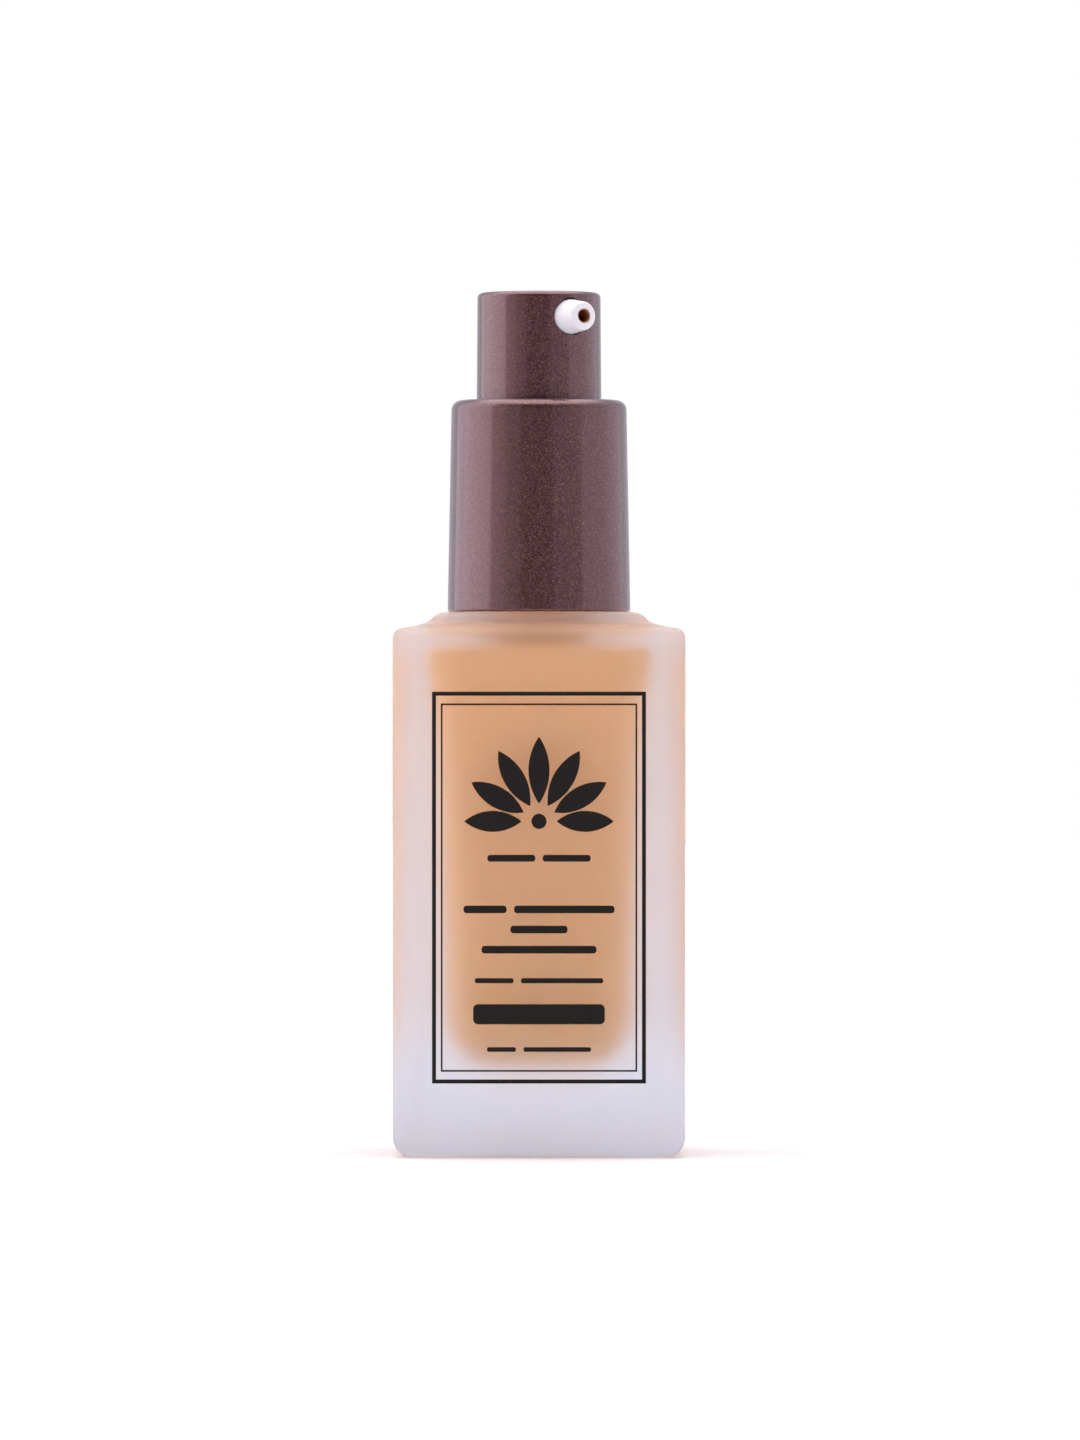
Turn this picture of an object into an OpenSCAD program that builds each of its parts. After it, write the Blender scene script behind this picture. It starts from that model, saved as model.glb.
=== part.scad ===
// Square frosted-glass foundation bottle with a metallic treatment pump.
// Millimetres. +Z is up, the origin is the centre of the base, and -Y is the printed front.

/* [Bottle] */
// Width and depth of the glass body
body_w = 35; // [34.6:0.1:38]
// Height of the vertical side walls, up to where the shoulder edge starts to round
wall_h = 62; // [60:0.05:66]
// Radius of the four upright corners, seen from above
corner_r = 3; // [2.7:0.1:4]
// Radius of the heel, between the walls and the base
heel_r = 2.5; // [1.5:0.1:2.6]
// Radius of the edge between the walls and the shoulder
edge_r = 1.3; // [0.6:0.1:1.4]
// Slope of the shoulder above level
shoulder_slope = 15; // [10:1:20]
// Thickness of the solid glass under the liquid
base_t = 10.2; // [8:0.1:13]
// Half width of the cavity under the shoulder
cavity_top = 13.9; // [12.9:0.1:14]
// Half width of the cavity at three quarters of its height
cavity_mid = 12.5; // [12.2:0.1:12.8]
// Half width of the cavity near the bottom
cavity_bottom = 11.4; // [10.5:0.1:12]
// Height of the liquid surface above the table, in the neck when the bottle is full
liquid_level = 70; // [40:0.5:74]

/* [Neck] */
// Radius at the foot of the round step that the collar stands on
step_r = 13.45; // [12.9:0.05:14]
// Height of that step above the shoulder
step_h = 1.2; // [0.9:0.05:1.5]
// Height of the threaded neck above the step
neck_h = 13.3; // [13.3:0.1:14]
// Radius over the neck thread
thread_r = 8.85; // [8.7:0.05:8.9]
// Rise of the thread in one turn
thread_pitch = 3.175; // [3:0.005:3.3]
// Turns of thread on the neck
thread_turns = 1.5; // [1:0.25:1.75]

/* [Collar] */
// Outer radius of the collar sleeve at its foot
collar_r = 11.05; // [10.8:0.05:11.6]
// Outer radius of the collar sleeve at its top
collar_top_r = 10.6; // [10.4:0.05:10.8]
// Height of the collar sleeve
collar_h = 25.6; // [25:0.05:27]
// Rounding of the collar's top edge
collar_edge = 1.2; // [0.5:0.05:1.4]

/* [Actuator] */
// Outer radius of the actuator
head_r = 7.55; // [7.2:0.05:7.6]
// How far the actuator stands above the collar
head_h = 13; // [12.6:0.05:14]
// How far the actuator travels when pressed
stroke = 6; // [4:0.5:6]
// Direction that the nozzle points, turned from the front towards +X
nozzle_turn = 31.7; // [-90:0.1:90]
// Depth of the nozzle axis below the top of the actuator
nozzle_drop = 3.1; // [3:0.05:3.4]
// Distance of the nozzle tip from the pump axis
nozzle_reach = 10.3; // [9.8:0.05:11.5]
// Radius of the outlet hole
outlet_r = 0.73; // [0.5:0.01:0.9]

/* [Print] */
// Width of the printed border
print_w = 25.5; // [20:0.1:28]
// Height of the printed border
print_h = 46.7; // [44:0.1:52]
// Height of the border's centre above the table
print_z = 32.3; // [30:0.1:36]
// Thickness of the ink
ink_t = 0.05; // [0.03:0.01:0.1]

/* [Hidden] */
$fn = 96;
hull_fn = 32;    // children of a hull, and small print
dish_fn = 128;   // large ball that hollows the finger dish
lap = 0.2;       // how far one solid runs into the next where they are joined
fit = 0.02;      // radial gap of a push fit inside one body
run = 0.04;      // radial running clearance between moving parts
past = 1;        // how far a cutter starts outside what it cuts
through = 80;    // height of a cutter that goes right through

half = body_w / 2;
slope_in = edge_r * (1 - sin(shoulder_slope));            // inset where the slope leaves the rounding
slope_z = wall_h + edge_r * cos(shoulder_slope);          // height of that line
shoulder_z = slope_z + (half - slope_in - step_r) * tan(shoulder_slope);
step_z = shoulder_z + step_h;                             // top of the round step
neck_top = step_z + neck_h;
neck_r = thread_r - 1;                                    // plain neck between the threads
neck_rim = 0.5;                                           // rounding of the neck's mouth
step_edge = 2.2;                                          // broad rounding of the step
step_flank = 45;                                          // slope that the rounding runs out on
step_parts = 8;                                           // straight pieces that it is made of
bore_r = 5.5;                                             // inside of the neck
cavity_corner = 4.5;
cavity_mid_z = wall_h - 15.2;
cavity_top_z = wall_h - 1.1;
cavity_roof_z = wall_h;
cavity_roof_r = 7.5;
slice_t = 0.2;                                            // thickness of a slice that a hull spans
push_up = 0.4;                                            // recess under the base
push_up_inset = 4.6;
push_up_corner = 2.5;

thread_inset = 2.2;                                       // mouth down to the thread's upper end
thread_top = neck_top - thread_inset;
thread_low = thread_top - thread_turns * thread_pitch;
bead_root = 1.9;
bead_crest = 0.9;
fade_a = 40;                                              // angle over which a thread runs in or out
fade_low = 0.08;                                          // share of its height left at the very end
ridge_root = 1;
ridge_crest = 0.6;
ridge_r = 8.1;                                            // crest of the closure's inner thread
ridge_drop = 1.2;                                         // ridge sits this far under the neck's bead

gasket_t = 1;
gasket_inset = 0.2;                                       // gasket's edge inside the plain neck
flange_r = 7.9;
flange_t = 1.2;
flange_z = neck_top + gasket_t;
closure_top = flange_z + flange_t;                        // underside of the closure's deck
deck_t = 1.2;
deck_hole = 6;
closure_r = 9.75;
closure_in = 9.02;
closure_gap = 0.6;                                        // between the closure's foot and the step
closure_z = step_z + closure_gap;
grip_ribs = 24;
grip_out = 10;
grip_w = 0.5;
grip_low = closure_z + 1;
grip_high = closure_top - 0.5;

collar_gap = 0.05;                                        // between the collar's foot and the step
collar_z = step_z + collar_gap;
collar_top = collar_z + collar_h;
head_top = collar_top + head_h;
nozzle_z = head_top - nozzle_drop;
collar_in = grip_out + fit;
collar_upper_in = 9.6;
collar_lip_t = 1.2;
mouth_gap = 0.15;                                         // between the actuator and the collar's lip
collar_mouth = head_r + mouth_gap;

stem_r = 2;
stem_in = 1.1;
stem_z = flange_z - 5.15;
stem_top = head_top - 6.9;
stem_room = 0.1;                                          // over the stem in its socket
port_w = 1.2;
port_h = 1.2;
valve_disc_r = 2.9;
valve_disc_t = 0.9;
shank_gap = 0.06;                                         // between the valve's shank and the stem
shank_t = 0.5;
shank_h = 5;

chamber_r = 3.5;                                          // bore that the piston runs in
spring_pressed = 5.6;                                     // height of the spring at full stroke
chamber_z = stem_z - valve_disc_t - stroke - spring_pressed;  // ledge that the spring stands on
barrel_r = 4.7;
barrel_z = chamber_z - 1.5;
tail_r = 2.7;
seat_top = chamber_z - 3.1;
seat_z = seat_top - 1.3;                                  // foot of the ball's conical seat
ball_room = 2;
ball_r = 1.5;
inlet_r = 0.9;
ball_rib_z = chamber_z - 0.6;
ball_rib_in = 1.2;
ball_rib_t = 0.6;
tail_z = seat_z - 6.6;
tube_r = 1.55;
tube_in = 0.9;
tube_z = base_t + 1.4;                                    // lowest point of the dip tube
tube_top = seat_z - 0.6;
tube_cut = 35;                                            // slant of its foot
vent_r = 0.4;

guide_low = flange_z + 0.15;                              // foot of the stem guide, above the piston
guide_top = closure_top + 1.5;
guide_brim_r = deck_hole - 0.1;
guide_brim_t = 1.2;
guide_cone = [4.4, 3.4];                                  // radii at the foot and top of its collar
guide_lead = 0.9;                                         // size of the lead-in under the stem's hole
piston_z = stem_z + 0.1;
piston_h = 4;
piston_waist = 0.45;                                      // how far its middle stands off the bore
piston_lip = 0.8;
piston_groove = 1.2;                                      // depth of the groove in its upper end
piston_skin = 0.3;                                        // wall on either side of that groove
spring_wire = 0.55;
spring_r = 2.45;                                          // middle of the wire
spring_turns = 7;
spring_low = chamber_z + spring_wire / 2;
spring_high = stem_z - valve_disc_t - spring_wire / 2;

cover_wall = 0.8;
cover_top_r = head_r - 0.1;
cover_z = collar_top - 2.05;
cover_edge = 0.65;
cover_deck_t = 1;
dish_depth = 0.35;
cover_hole_r = 2.3;
dish_rim = 1.4;                                           // width of the rim round the dish
core_gap = 0.06;                                          // between the core's ring and the cover
core_r = head_r - cover_wall - core_gap - 2 * fit;
core_wall = 0.8;
core_top = head_top - cover_deck_t;
core_z = head_top - 8;
core_roof_t = 1;
core_post_r = 3.3;
core_rib_t = 0.8;
core_arm_w = 5.2;                                         // arm that carries the nozzle
core_arm_h = 4.4;
channel_r = 0.8;
socket_z = cover_z + 0.1;
nozzle_base_r = 2.17;
nozzle_tip_r = 1.76;
nozzle_shank_r = 1.55;
nozzle_shank_x = 3.9;
nozzle_round = 0.45;

// ---------- shared shapes ----------

// Square with rounded corners, centred.
module rounded_square(half_w, r) {
    square([2 * half_w, 2 * (half_w - r)], center = true);
    square([2 * (half_w - r), 2 * half_w], center = true);
    for (x = [-1, 1], y = [-1, 1])
        translate([x * (half_w - r), y * (half_w - r)]) circle(r);
}

// Hollow round tube standing on z.
module tube(r_out, r_in, z, h) {
    translate([0, 0, z]) difference() {
        cylinder(r = r_out, h = h);
        translate([0, 0, -past]) cylinder(r = r_in, h = h + 2 * past);
    }
}

// Round post with a slightly tapered side and a rounded upper edge.
module rounded_post(r_low, r_high, z_low, z_high, edge) {
    rotate_extrude() {
        polygon([[0, z_low], [r_low, z_low], [r_high, z_high - edge], [0, z_high - edge]]);
        translate([0, z_high - edge - lap]) square([r_high - edge, edge + lap]);
        translate([r_high - edge, z_high - edge]) circle(edge);
    }
}

// One ring of a thread's outline at angle a, faded in and out at both ends.
function thread_ring(a, end_a, r_root, r_crest, w_root, w_crest, z, pitch) =
    let (
        fade = max(fade_low, min(1, a / fade_a, (end_a - a) / fade_a)),
        r = r_root + (r_crest - r_root) * fade,
        mid = z + pitch * a / 360
    )
    [for (p = [[r_root, -w_root], [r, -w_crest], [r, w_crest], [r_root, w_root]])
        [p[0] * cos(a), p[0] * sin(a), mid + p[1] / 2]];

// Closed skin round a row of rings that all have n points.
module skin(rings, n) {
    last = len(rings) - 1;
    polyhedron(
        points = [for (ring = rings) each ring],
        faces = [
            [for (k = [0:n - 1]) k],
            for (i = [0:last - 1], k = [0:n - 1])
                [i * n + k, (i + 1) * n + k, (i + 1) * n + (k + 1) % n, i * n + (k + 1) % n],
            [for (k = [n - 1:-1:0]) last * n + k]
        ],
        convexity = 6
    );
}

// Screw thread. A crest inside the root makes an inner thread.
module thread(r_root, r_crest, w_root, w_crest, z, turns, pitch, step_a = 12) {
    end_a = 360 * turns;
    rings = [for (a = [0:step_a:end_a]) thread_ring(a, end_a, r_root, r_crest, w_root, w_crest, z, pitch)];
    skin(r_crest < r_root ? rings : [for (ring = rings) [for (k = [3:-1:0]) ring[k]]], 4);
}

// ---------- bottle ----------

// Outline of one wall: heel rounding, upright, and edge rounding, from the axis out to w.
module wall_outline(w) {
    translate([0, heel_r]) square([w, wall_h - heel_r]);
    square([w - heel_r, wall_h + edge_r]);
    translate([w - heel_r, heel_r]) circle(heel_r);
    translate([w - edge_r, wall_h]) circle(edge_r);
    translate([0, wall_h - lap]) square([w - edge_r, edge_r + lap]);
}

// Half of that outline, for a lathe.
module corner_outline() {
    intersection() {
        wall_outline(corner_r);
        square([corner_r + past, wall_h + edge_r + past]);
    }
}

// Square body with rounded corners, heel and top edge.
module body_block() {
    straight = 2 * (half - corner_r);
    for (turn = [0, 90])
        rotate([0, 0, turn]) translate([0, straight / 2, 0]) rotate([90, 0, 0])
            linear_extrude(straight) {
                wall_outline(half);
                mirror([1, 0]) wall_outline(half);
            }
    for (x = [-1, 1], y = [-1, 1])
        translate([x * (half - corner_r), y * (half - corner_r), 0])
            rotate_extrude() corner_outline();
}

// Sloping shoulder, from the edge rounding up to the round step.
module shoulder_roof() {
    rim = half - slope_in;
    outline = [
        [-rim, slope_z - lap], [rim, slope_z - lap], [rim, slope_z],
        [step_r, shoulder_z], [-step_r, shoulder_z], [-rim, slope_z]
    ];
    intersection() {
        translate([0, half, 0]) rotate([90, 0, 0]) linear_extrude(body_w) polygon(outline);
        rotate([0, 0, 90]) translate([0, half, 0]) rotate([90, 0, 0])
            linear_extrude(body_w) polygon(outline);
        translate([0, 0, slope_z - 2 * lap])
            linear_extrude(through) rounded_square(rim, corner_r - slope_in);
    }
}

// Points of the step's rounding, from the end of its flank up to its flat top.
function step_rounding() =
    let (
        flank_h = step_h - step_edge * (1 - cos(step_flank)),
        mid_r = step_r - flank_h / tan(step_flank) - step_edge * sin(step_flank),
        mid_z = step_z - step_edge
    )
    [for (i = [0:step_parts]) let (a = 90 - step_flank * (1 - i / step_parts))
        [mid_r + step_edge * cos(a), mid_z + step_edge * sin(a)]];

// Round step and plain neck.
module neck_outside() {
    rotate_extrude() {
        polygon([
            [0, slope_z - lap], [step_r, slope_z - lap], [step_r, shoulder_z],
            each step_rounding(), [0, step_z]
        ]);
        translate([0, step_z - lap]) square([neck_r, neck_h + lap - neck_rim]);
        translate([0, step_z]) square([neck_r - neck_rim, neck_h]);
        translate([neck_r - neck_rim, neck_top - neck_rim]) circle(neck_rim);
    }
}

// Space inside the body: narrows slowly to a rounded floor, and flares under the shoulder.
module cavity() {
    hull() {
        for (x = [-1, 1], y = [-1, 1])
            translate([
                x * (cavity_bottom - cavity_corner), y * (cavity_bottom - cavity_corner),
                base_t + cavity_corner
            ]) sphere(cavity_corner, $fn = hull_fn);
        cavity_slice(cavity_mid, cavity_mid_z);
    }
    hull() {
        cavity_slice(cavity_mid, cavity_mid_z);
        cavity_slice(cavity_top, cavity_top_z);
        translate([0, 0, cavity_roof_z]) cylinder(r = cavity_roof_r, h = slice_t, $fn = hull_fn);
    }
}

// Thin rounded square across the cavity.
module cavity_slice(half_w, z) {
    for (x = [-1, 1], y = [-1, 1])
        translate([x * (half_w - cavity_corner), y * (half_w - cavity_corner), z])
            cylinder(r = cavity_corner, h = slice_t, $fn = hull_fn);
}

module glass_bottle() {
    color([0.87, 0.85, 0.9, 0.45]) difference() {
        union() {
            body_block();
            shoulder_roof();
            neck_outside();
            thread(neck_r - lap / 2, thread_r, bead_root, bead_crest, thread_low, thread_turns, thread_pitch);
        }
        cavity();
        translate([0, 0, cavity_top_z]) cylinder(r = bore_r, h = through);
        translate([0, 0, -past]) linear_extrude(past + push_up)
            rounded_square(half - push_up_inset, push_up_corner);
    }
}

// Liquid, filling the cavity up to its level and standing clear of the pump.
module foundation_liquid() {
    gap = 0.3;
    color([0.82, 0.6, 0.43]) difference() {
        union() {
            cavity();
            translate([0, 0, cavity_top_z]) cylinder(r = bore_r - fit, h = neck_top - cavity_top_z);
        }
        translate([-half, -half, liquid_level]) cube([body_w, body_w, through]);
        translate([0, 0, barrel_z - gap]) cylinder(r = barrel_r + gap, h = through);
        translate([0, 0, seat_z - gap])
            cylinder(r1 = tail_r + gap, r2 = barrel_r + gap, h = barrel_z - seat_z);
        translate([0, 0, tail_z - gap]) cylinder(r = tail_r + gap, h = seat_z - tail_z);
        translate([0, 0, tube_z - gap]) cylinder(r = tube_r + gap, h = tail_z - tube_z);
    }
}

// ---------- print ----------

// Rectangular line of width t, its outside w by h.
module border(w, h, t) {
    difference() {
        square([w, h], center = true);
        square([w - 2 * t, h - 2 * t], center = true);
    }
}

// Pointed petal standing on the origin, bounded by two arcs.
module petal(long, wide) {
    r = (long * long + wide * wide) / (4 * wide);
    translate([0, long / 2]) intersection() {
        translate([r - wide / 2, 0]) circle(r);
        translate([wide / 2 - r, 0]) circle(r);
    }
}

// Fan of seven petals over a dot, the middle one longest.
module blossom() {
    for (lean = [-90:30:90])
        rotate(lean) translate([0, 2.1]) petal(8 - abs(lean) / 75, 2.5);
    circle(0.9);
}

// Bar of width w and height h with round ends.
module pill(w, h, r) {
    square([w - 2 * r, h], center = true);
    square([w, h - 2 * r], center = true);
    for (x = [-1, 1], y = [-1, 1])
        translate([x * (w / 2 - r), y * (h / 2 - r)]) circle(r, $fn = hull_fn);
}

// Row of two plain bars split at a share of the row's width, centred.
module bar_row(w, h, split) {
    gap = 0.9;
    left = (w - gap) * split;
    right = w - gap - left;
    translate([(left - w) / 2, 0]) pill(left, h, h * 0.4);
    translate([(w - right) / 2, 0]) pill(right, h, h * 0.4);
}

// Double border, blossom mark, plain bars and a filled plate.
module print_artwork() {
    border(print_w, print_h, 0.47);
    border(print_w - 2.1, print_h - 2.8, 0.2);
    translate([0, 7.9]) blossom();
    translate([0, 3.5]) bar_row(12.3, 0.8, 0.5);
    translate([0, -2.6]) bar_row(18, 0.9, 0.3);
    translate([0, -5]) pill(6.8, 0.9, 0.36);
    translate([0, -7.4]) pill(13.7, 0.9, 0.36);
    translate([0, -11.1]) bar_row(15.3, 0.6, 0.32);
    translate([0, -15.1]) pill(15.7, 2.4, 0.6);
    translate([0, -19.3]) bar_row(12.4, 0.55, 0.3);
}

module front_print() {
    color([0.1, 0.09, 0.09])
        translate([0, -half, print_z]) rotate([90, 0, 0]) linear_extrude(ink_t) print_artwork();
}

// ---------- pump body ----------

module neck_gasket() {
    color([0.93, 0.93, 0.9]) tube(neck_r - gasket_inset, barrel_r + fit, neck_top, gasket_t);
}

// Barrel with its flange, piston bore, ball seat and dip-tube socket.
module pump_housing() {
    color([0.94, 0.94, 0.95]) difference() {
        union() {
            translate([0, 0, flange_z]) cylinder(r = flange_r, h = flange_t);
            translate([0, 0, barrel_z]) cylinder(r = barrel_r, h = flange_z + lap - barrel_z);
            translate([0, 0, seat_z]) cylinder(r1 = tail_r, r2 = barrel_r, h = barrel_z - seat_z);
            translate([0, 0, tail_z]) cylinder(r = tail_r, h = seat_z + lap - tail_z);
        }
        translate([0, 0, chamber_z]) cylinder(r = chamber_r, h = through);
        translate([0, 0, seat_top]) cylinder(r = ball_room, h = through);
        translate([0, 0, seat_z]) cylinder(r1 = inlet_r, r2 = ball_room, h = seat_top - seat_z);
        translate([0, 0, tube_top - lap]) cylinder(r = inlet_r, h = seat_z - tube_top + 2 * lap);
        translate([0, 0, tail_z - past]) cylinder(r = tube_r + fit, h = tube_top - tail_z + past);
        translate([0, 0, piston_z + piston_h - vent_r]) rotate([0, 90, 0]) cylinder(r = vent_r, h = through);
    }
    color([0.94, 0.94, 0.95]) ball_ribs();
}

// Three ribs that keep the ball in its chamber and let the liquid past.
module ball_ribs() {
    for (turn = [0:120:240])
        rotate([0, 0, turn]) translate([ball_rib_in, -ball_rib_t / 2, ball_rib_z])
            cube([ball_room + lap - ball_rib_in, ball_rib_t, chamber_z - ball_rib_z]);
}

// Plug that closes the barrel and guides the stem.
module stem_guide() {
    color([0.9, 0.9, 0.92]) difference() {
        union() {
            translate([0, 0, guide_low]) cylinder(r = chamber_r - fit, h = closure_top + lap - guide_low);
            translate([0, 0, closure_top]) cylinder(r = guide_brim_r, h = guide_brim_t);
            translate([0, 0, closure_top])
                cylinder(r1 = guide_cone[0], r2 = guide_cone[1], h = guide_top - closure_top);
        }
        translate([0, 0, guide_low - past]) cylinder(r = stem_r + run, h = through);
        translate([0, 0, guide_low - lap])
            cylinder(r1 = stem_r + guide_lead, r2 = stem_r + run, h = guide_lead);
    }
}

// Dip tube with a slanting foot.
module dip_tube() {
    color([0.9, 0.92, 0.94]) difference() {
        tube(tube_r, tube_in, tube_z, tube_top - tube_z);
        translate([-tube_r, -2 * tube_r, tube_z]) rotate([0, -tube_cut, 0])
            translate([-past, 0, -4 * tube_r]) cube([6 * tube_r, 4 * tube_r, 4 * tube_r]);
    }
}

// Height of the spring's wire after t turns: a closed coil at each end, open coils between.
function spring_height(t) =
    let (
        open_rise = (spring_high - spring_low - 2 * spring_wire) / (spring_turns - 2)
    )
    spring_low + spring_wire * (min(t, 1) + max(0, t - spring_turns + 1))
        + open_rise * max(0, min(t, spring_turns - 1) - 1);

module return_spring() {
    sides = 8;
    steps = 18;
    color([0.75, 0.76, 0.78]) skin([
        for (i = [0:steps * spring_turns]) let (t = i / steps)
            [for (k = [0:sides - 1]) let (b = -360 * k / sides, r = spring_r + spring_wire / 2 * cos(b))
                [r * cos(360 * t), r * sin(360 * t), spring_height(t) + spring_wire / 2 * sin(b)]]
    ], sides);
}

// Ball resting on the conical seat.
module inlet_ball() {
    flank = atan((ball_room - inlet_r) / (seat_top - seat_z));
    touch_z = seat_z + (ball_r * cos(flank) - inlet_r) / tan(flank);
    color([0.8, 0.82, 0.84])
        translate([0, 0, touch_z + ball_r * sin(flank) + fit]) sphere(ball_r);
}

// ---------- closure and collar ----------

// Threaded cap that clamps the pump to the neck, with grip ribs for the sleeve.
module screw_closure() {
    low_ridge = thread_low - ridge_drop;
    color([0.16, 0.12, 0.12]) {
        difference() {
            union() {
                translate([0, 0, closure_z]) cylinder(r = closure_r, h = closure_top + deck_t - closure_z);
                for (turn = [0:360 / grip_ribs:359])
                    rotate([0, 0, turn]) translate([closure_r - lap, -grip_w / 2, grip_low])
                        cube([grip_out - closure_r + lap, grip_w, grip_high - grip_low]);
            }
            translate([0, 0, closure_z - past])
                cylinder(r = closure_in, h = closure_top - closure_z + past);
            translate([0, 0, closure_z]) cylinder(r = deck_hole, h = through);
        }
        thread(closure_in + lap / 2, ridge_r, ridge_root, ridge_crest, low_ridge, thread_turns, thread_pitch);
    }
}

// Tapered outer sleeve. Its lip hides the foot of the actuator.
module collar_sleeve() {
    color([0.42, 0.29, 0.31]) difference() {
        rounded_post(collar_r, collar_top_r, collar_z, collar_top, collar_edge);
        translate([0, 0, collar_z - past])
            cylinder(r = collar_in, h = closure_top + deck_t - collar_z + past);
        translate([0, 0, collar_z]) cylinder(r = collar_upper_in, h = collar_h - collar_lip_t);
        translate([0, 0, collar_z]) cylinder(r = collar_mouth, h = through);
    }
}

// ---------- plunger ----------

// Hollow stem with two ports at its foot.
module stem() {
    color([0.92, 0.92, 0.94]) difference() {
        tube(stem_r, stem_in, stem_z, stem_top - stem_z);
        translate([-2 * stem_r, -port_w / 2, stem_z - lap]) cube([4 * stem_r, port_w, port_h + lap]);
    }
}

// Disc and cross-shaped shank that close the ports against the piston.
module valve_seat() {
    shank_w = 2 * (stem_in - shank_gap);
    color([0.85, 0.86, 0.88]) {
        translate([0, 0, stem_z - valve_disc_t]) cylinder(r = valve_disc_r, h = valve_disc_t - fit);
        for (turn = [0, 90])
            rotate([0, 0, turn]) translate([-shank_w / 2, -shank_t / 2, stem_z - lap])
                cube([shank_w, shank_t, shank_h]);
    }
}

// Piston with a sealing lip at each end and a groove that lets the upper lip flex.
module piston() {
    color([0.88, 0.88, 0.86]) difference() {
        union() {
            translate([0, 0, piston_z]) cylinder(r = chamber_r - piston_waist, h = piston_h);
            for (z = [piston_z, piston_z + piston_h - piston_lip])
                translate([0, 0, z]) cylinder(r = chamber_r - run, h = piston_lip);
        }
        translate([0, 0, piston_z - past]) cylinder(r = stem_r + run, h = through);
        tube(
            chamber_r - piston_waist - piston_skin, stem_r + run + piston_skin,
            piston_z + piston_h - piston_groove, through
        );
    }
}

// ---------- actuator ----------

// Turns what follows so that +X becomes the nozzle's direction.
module towards_nozzle() {
    rotate([0, 0, nozzle_turn - 90]) children();
}

// Metallic outer cap with a shallow finger dish.
module actuator_cover() {
    dish_r = (pow(head_r - dish_rim, 2) + pow(dish_depth, 2)) / (2 * dish_depth);
    color([0.46, 0.32, 0.34]) difference() {
        rounded_post(head_r, cover_top_r, cover_z, head_top, cover_edge);
        translate([0, 0, cover_z - past]) cylinder(r = core_r + 2 * fit, h = core_top - cover_z + past);
        towards_nozzle() translate([core_post_r, 0, nozzle_z]) rotate([0, 90, 0])
            cylinder(r = cover_hole_r, h = through);
        translate([0, 0, head_top - dish_depth + dish_r]) sphere(dish_r, $fn = dish_fn);
    }
}

// White inner body: stem socket, ring that grips the cover, and the channel to the nozzle.
module actuator_core() {
    roof = core_top - fit;
    arm_low = roof - core_arm_h;
    rib_end = core_r - core_wall / 2;
    color([0.96, 0.96, 0.97]) difference() {
        union() {
            translate([0, 0, socket_z]) cylinder(r = core_post_r, h = roof - socket_z);
            tube(core_r, core_r - core_wall, core_z, roof - core_z);
            translate([0, 0, roof - core_roof_t]) cylinder(r = rib_end, h = core_roof_t);
            for (turn = [0:90:270])
                rotate([0, 0, nozzle_turn + turn]) translate([core_post_r - lap, -core_rib_t / 2, core_z])
                    cube([rib_end - core_post_r + lap, core_rib_t, roof - core_roof_t / 2 - core_z]);
            towards_nozzle() intersection() {
                translate([0, -core_arm_w / 2, arm_low]) cube([core_r, core_arm_w, core_arm_h]);
                translate([0, 0, arm_low]) cylinder(r = rib_end, h = core_arm_h);
            }
        }
        translate([0, 0, socket_z - past])
            cylinder(r = stem_r + run, h = stem_top + stem_room - socket_z + past);
        translate([0, 0, stem_top]) cylinder(r = channel_r, h = nozzle_z - stem_top);
        towards_nozzle() translate([0, 0, nozzle_z]) rotate([0, 90, 0]) {
            cylinder(r = channel_r, h = through);
            translate([0, 0, nozzle_shank_x]) cylinder(r = nozzle_shank_r + fit, h = through);
        }
    }
}

// Tapered white nozzle with a rounded tip.
module nozzle() {
    base_x = core_r + fit;
    color([0.97, 0.97, 0.99]) towards_nozzle()
        translate([0, 0, nozzle_z]) rotate([0, 90, 0]) difference() {
            union() {
                translate([0, 0, nozzle_shank_x])
                    cylinder(r = nozzle_shank_r, h = base_x - nozzle_shank_x + lap);
                rounded_post(nozzle_base_r, nozzle_tip_r, base_x, nozzle_reach, nozzle_round);
            }
            translate([0, 0, nozzle_shank_x - past]) cylinder(r = outlet_r, h = through);
        }
}

// ---------- the part ----------

glass_bottle();
foundation_liquid();
front_print();
neck_gasket();
pump_housing();
stem_guide();
dip_tube();
return_spring();
inlet_ball();
screw_closure();
collar_sleeve();
stem();
valve_seat();
piston();
actuator_cover();
actuator_core();
nozzle();
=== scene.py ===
"""Looks of the square foundation bottle: frosted glass, tan liquid, metallic pump and white nozzle.

Everything is in metres in the CAD frame. +Z is up and -Y is the printed front.
Sizes below are in millimetres and are turned into metres when a mesh is made.
"""
import math

import bmesh
import bpy
from mathutils import Matrix, Vector


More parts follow.
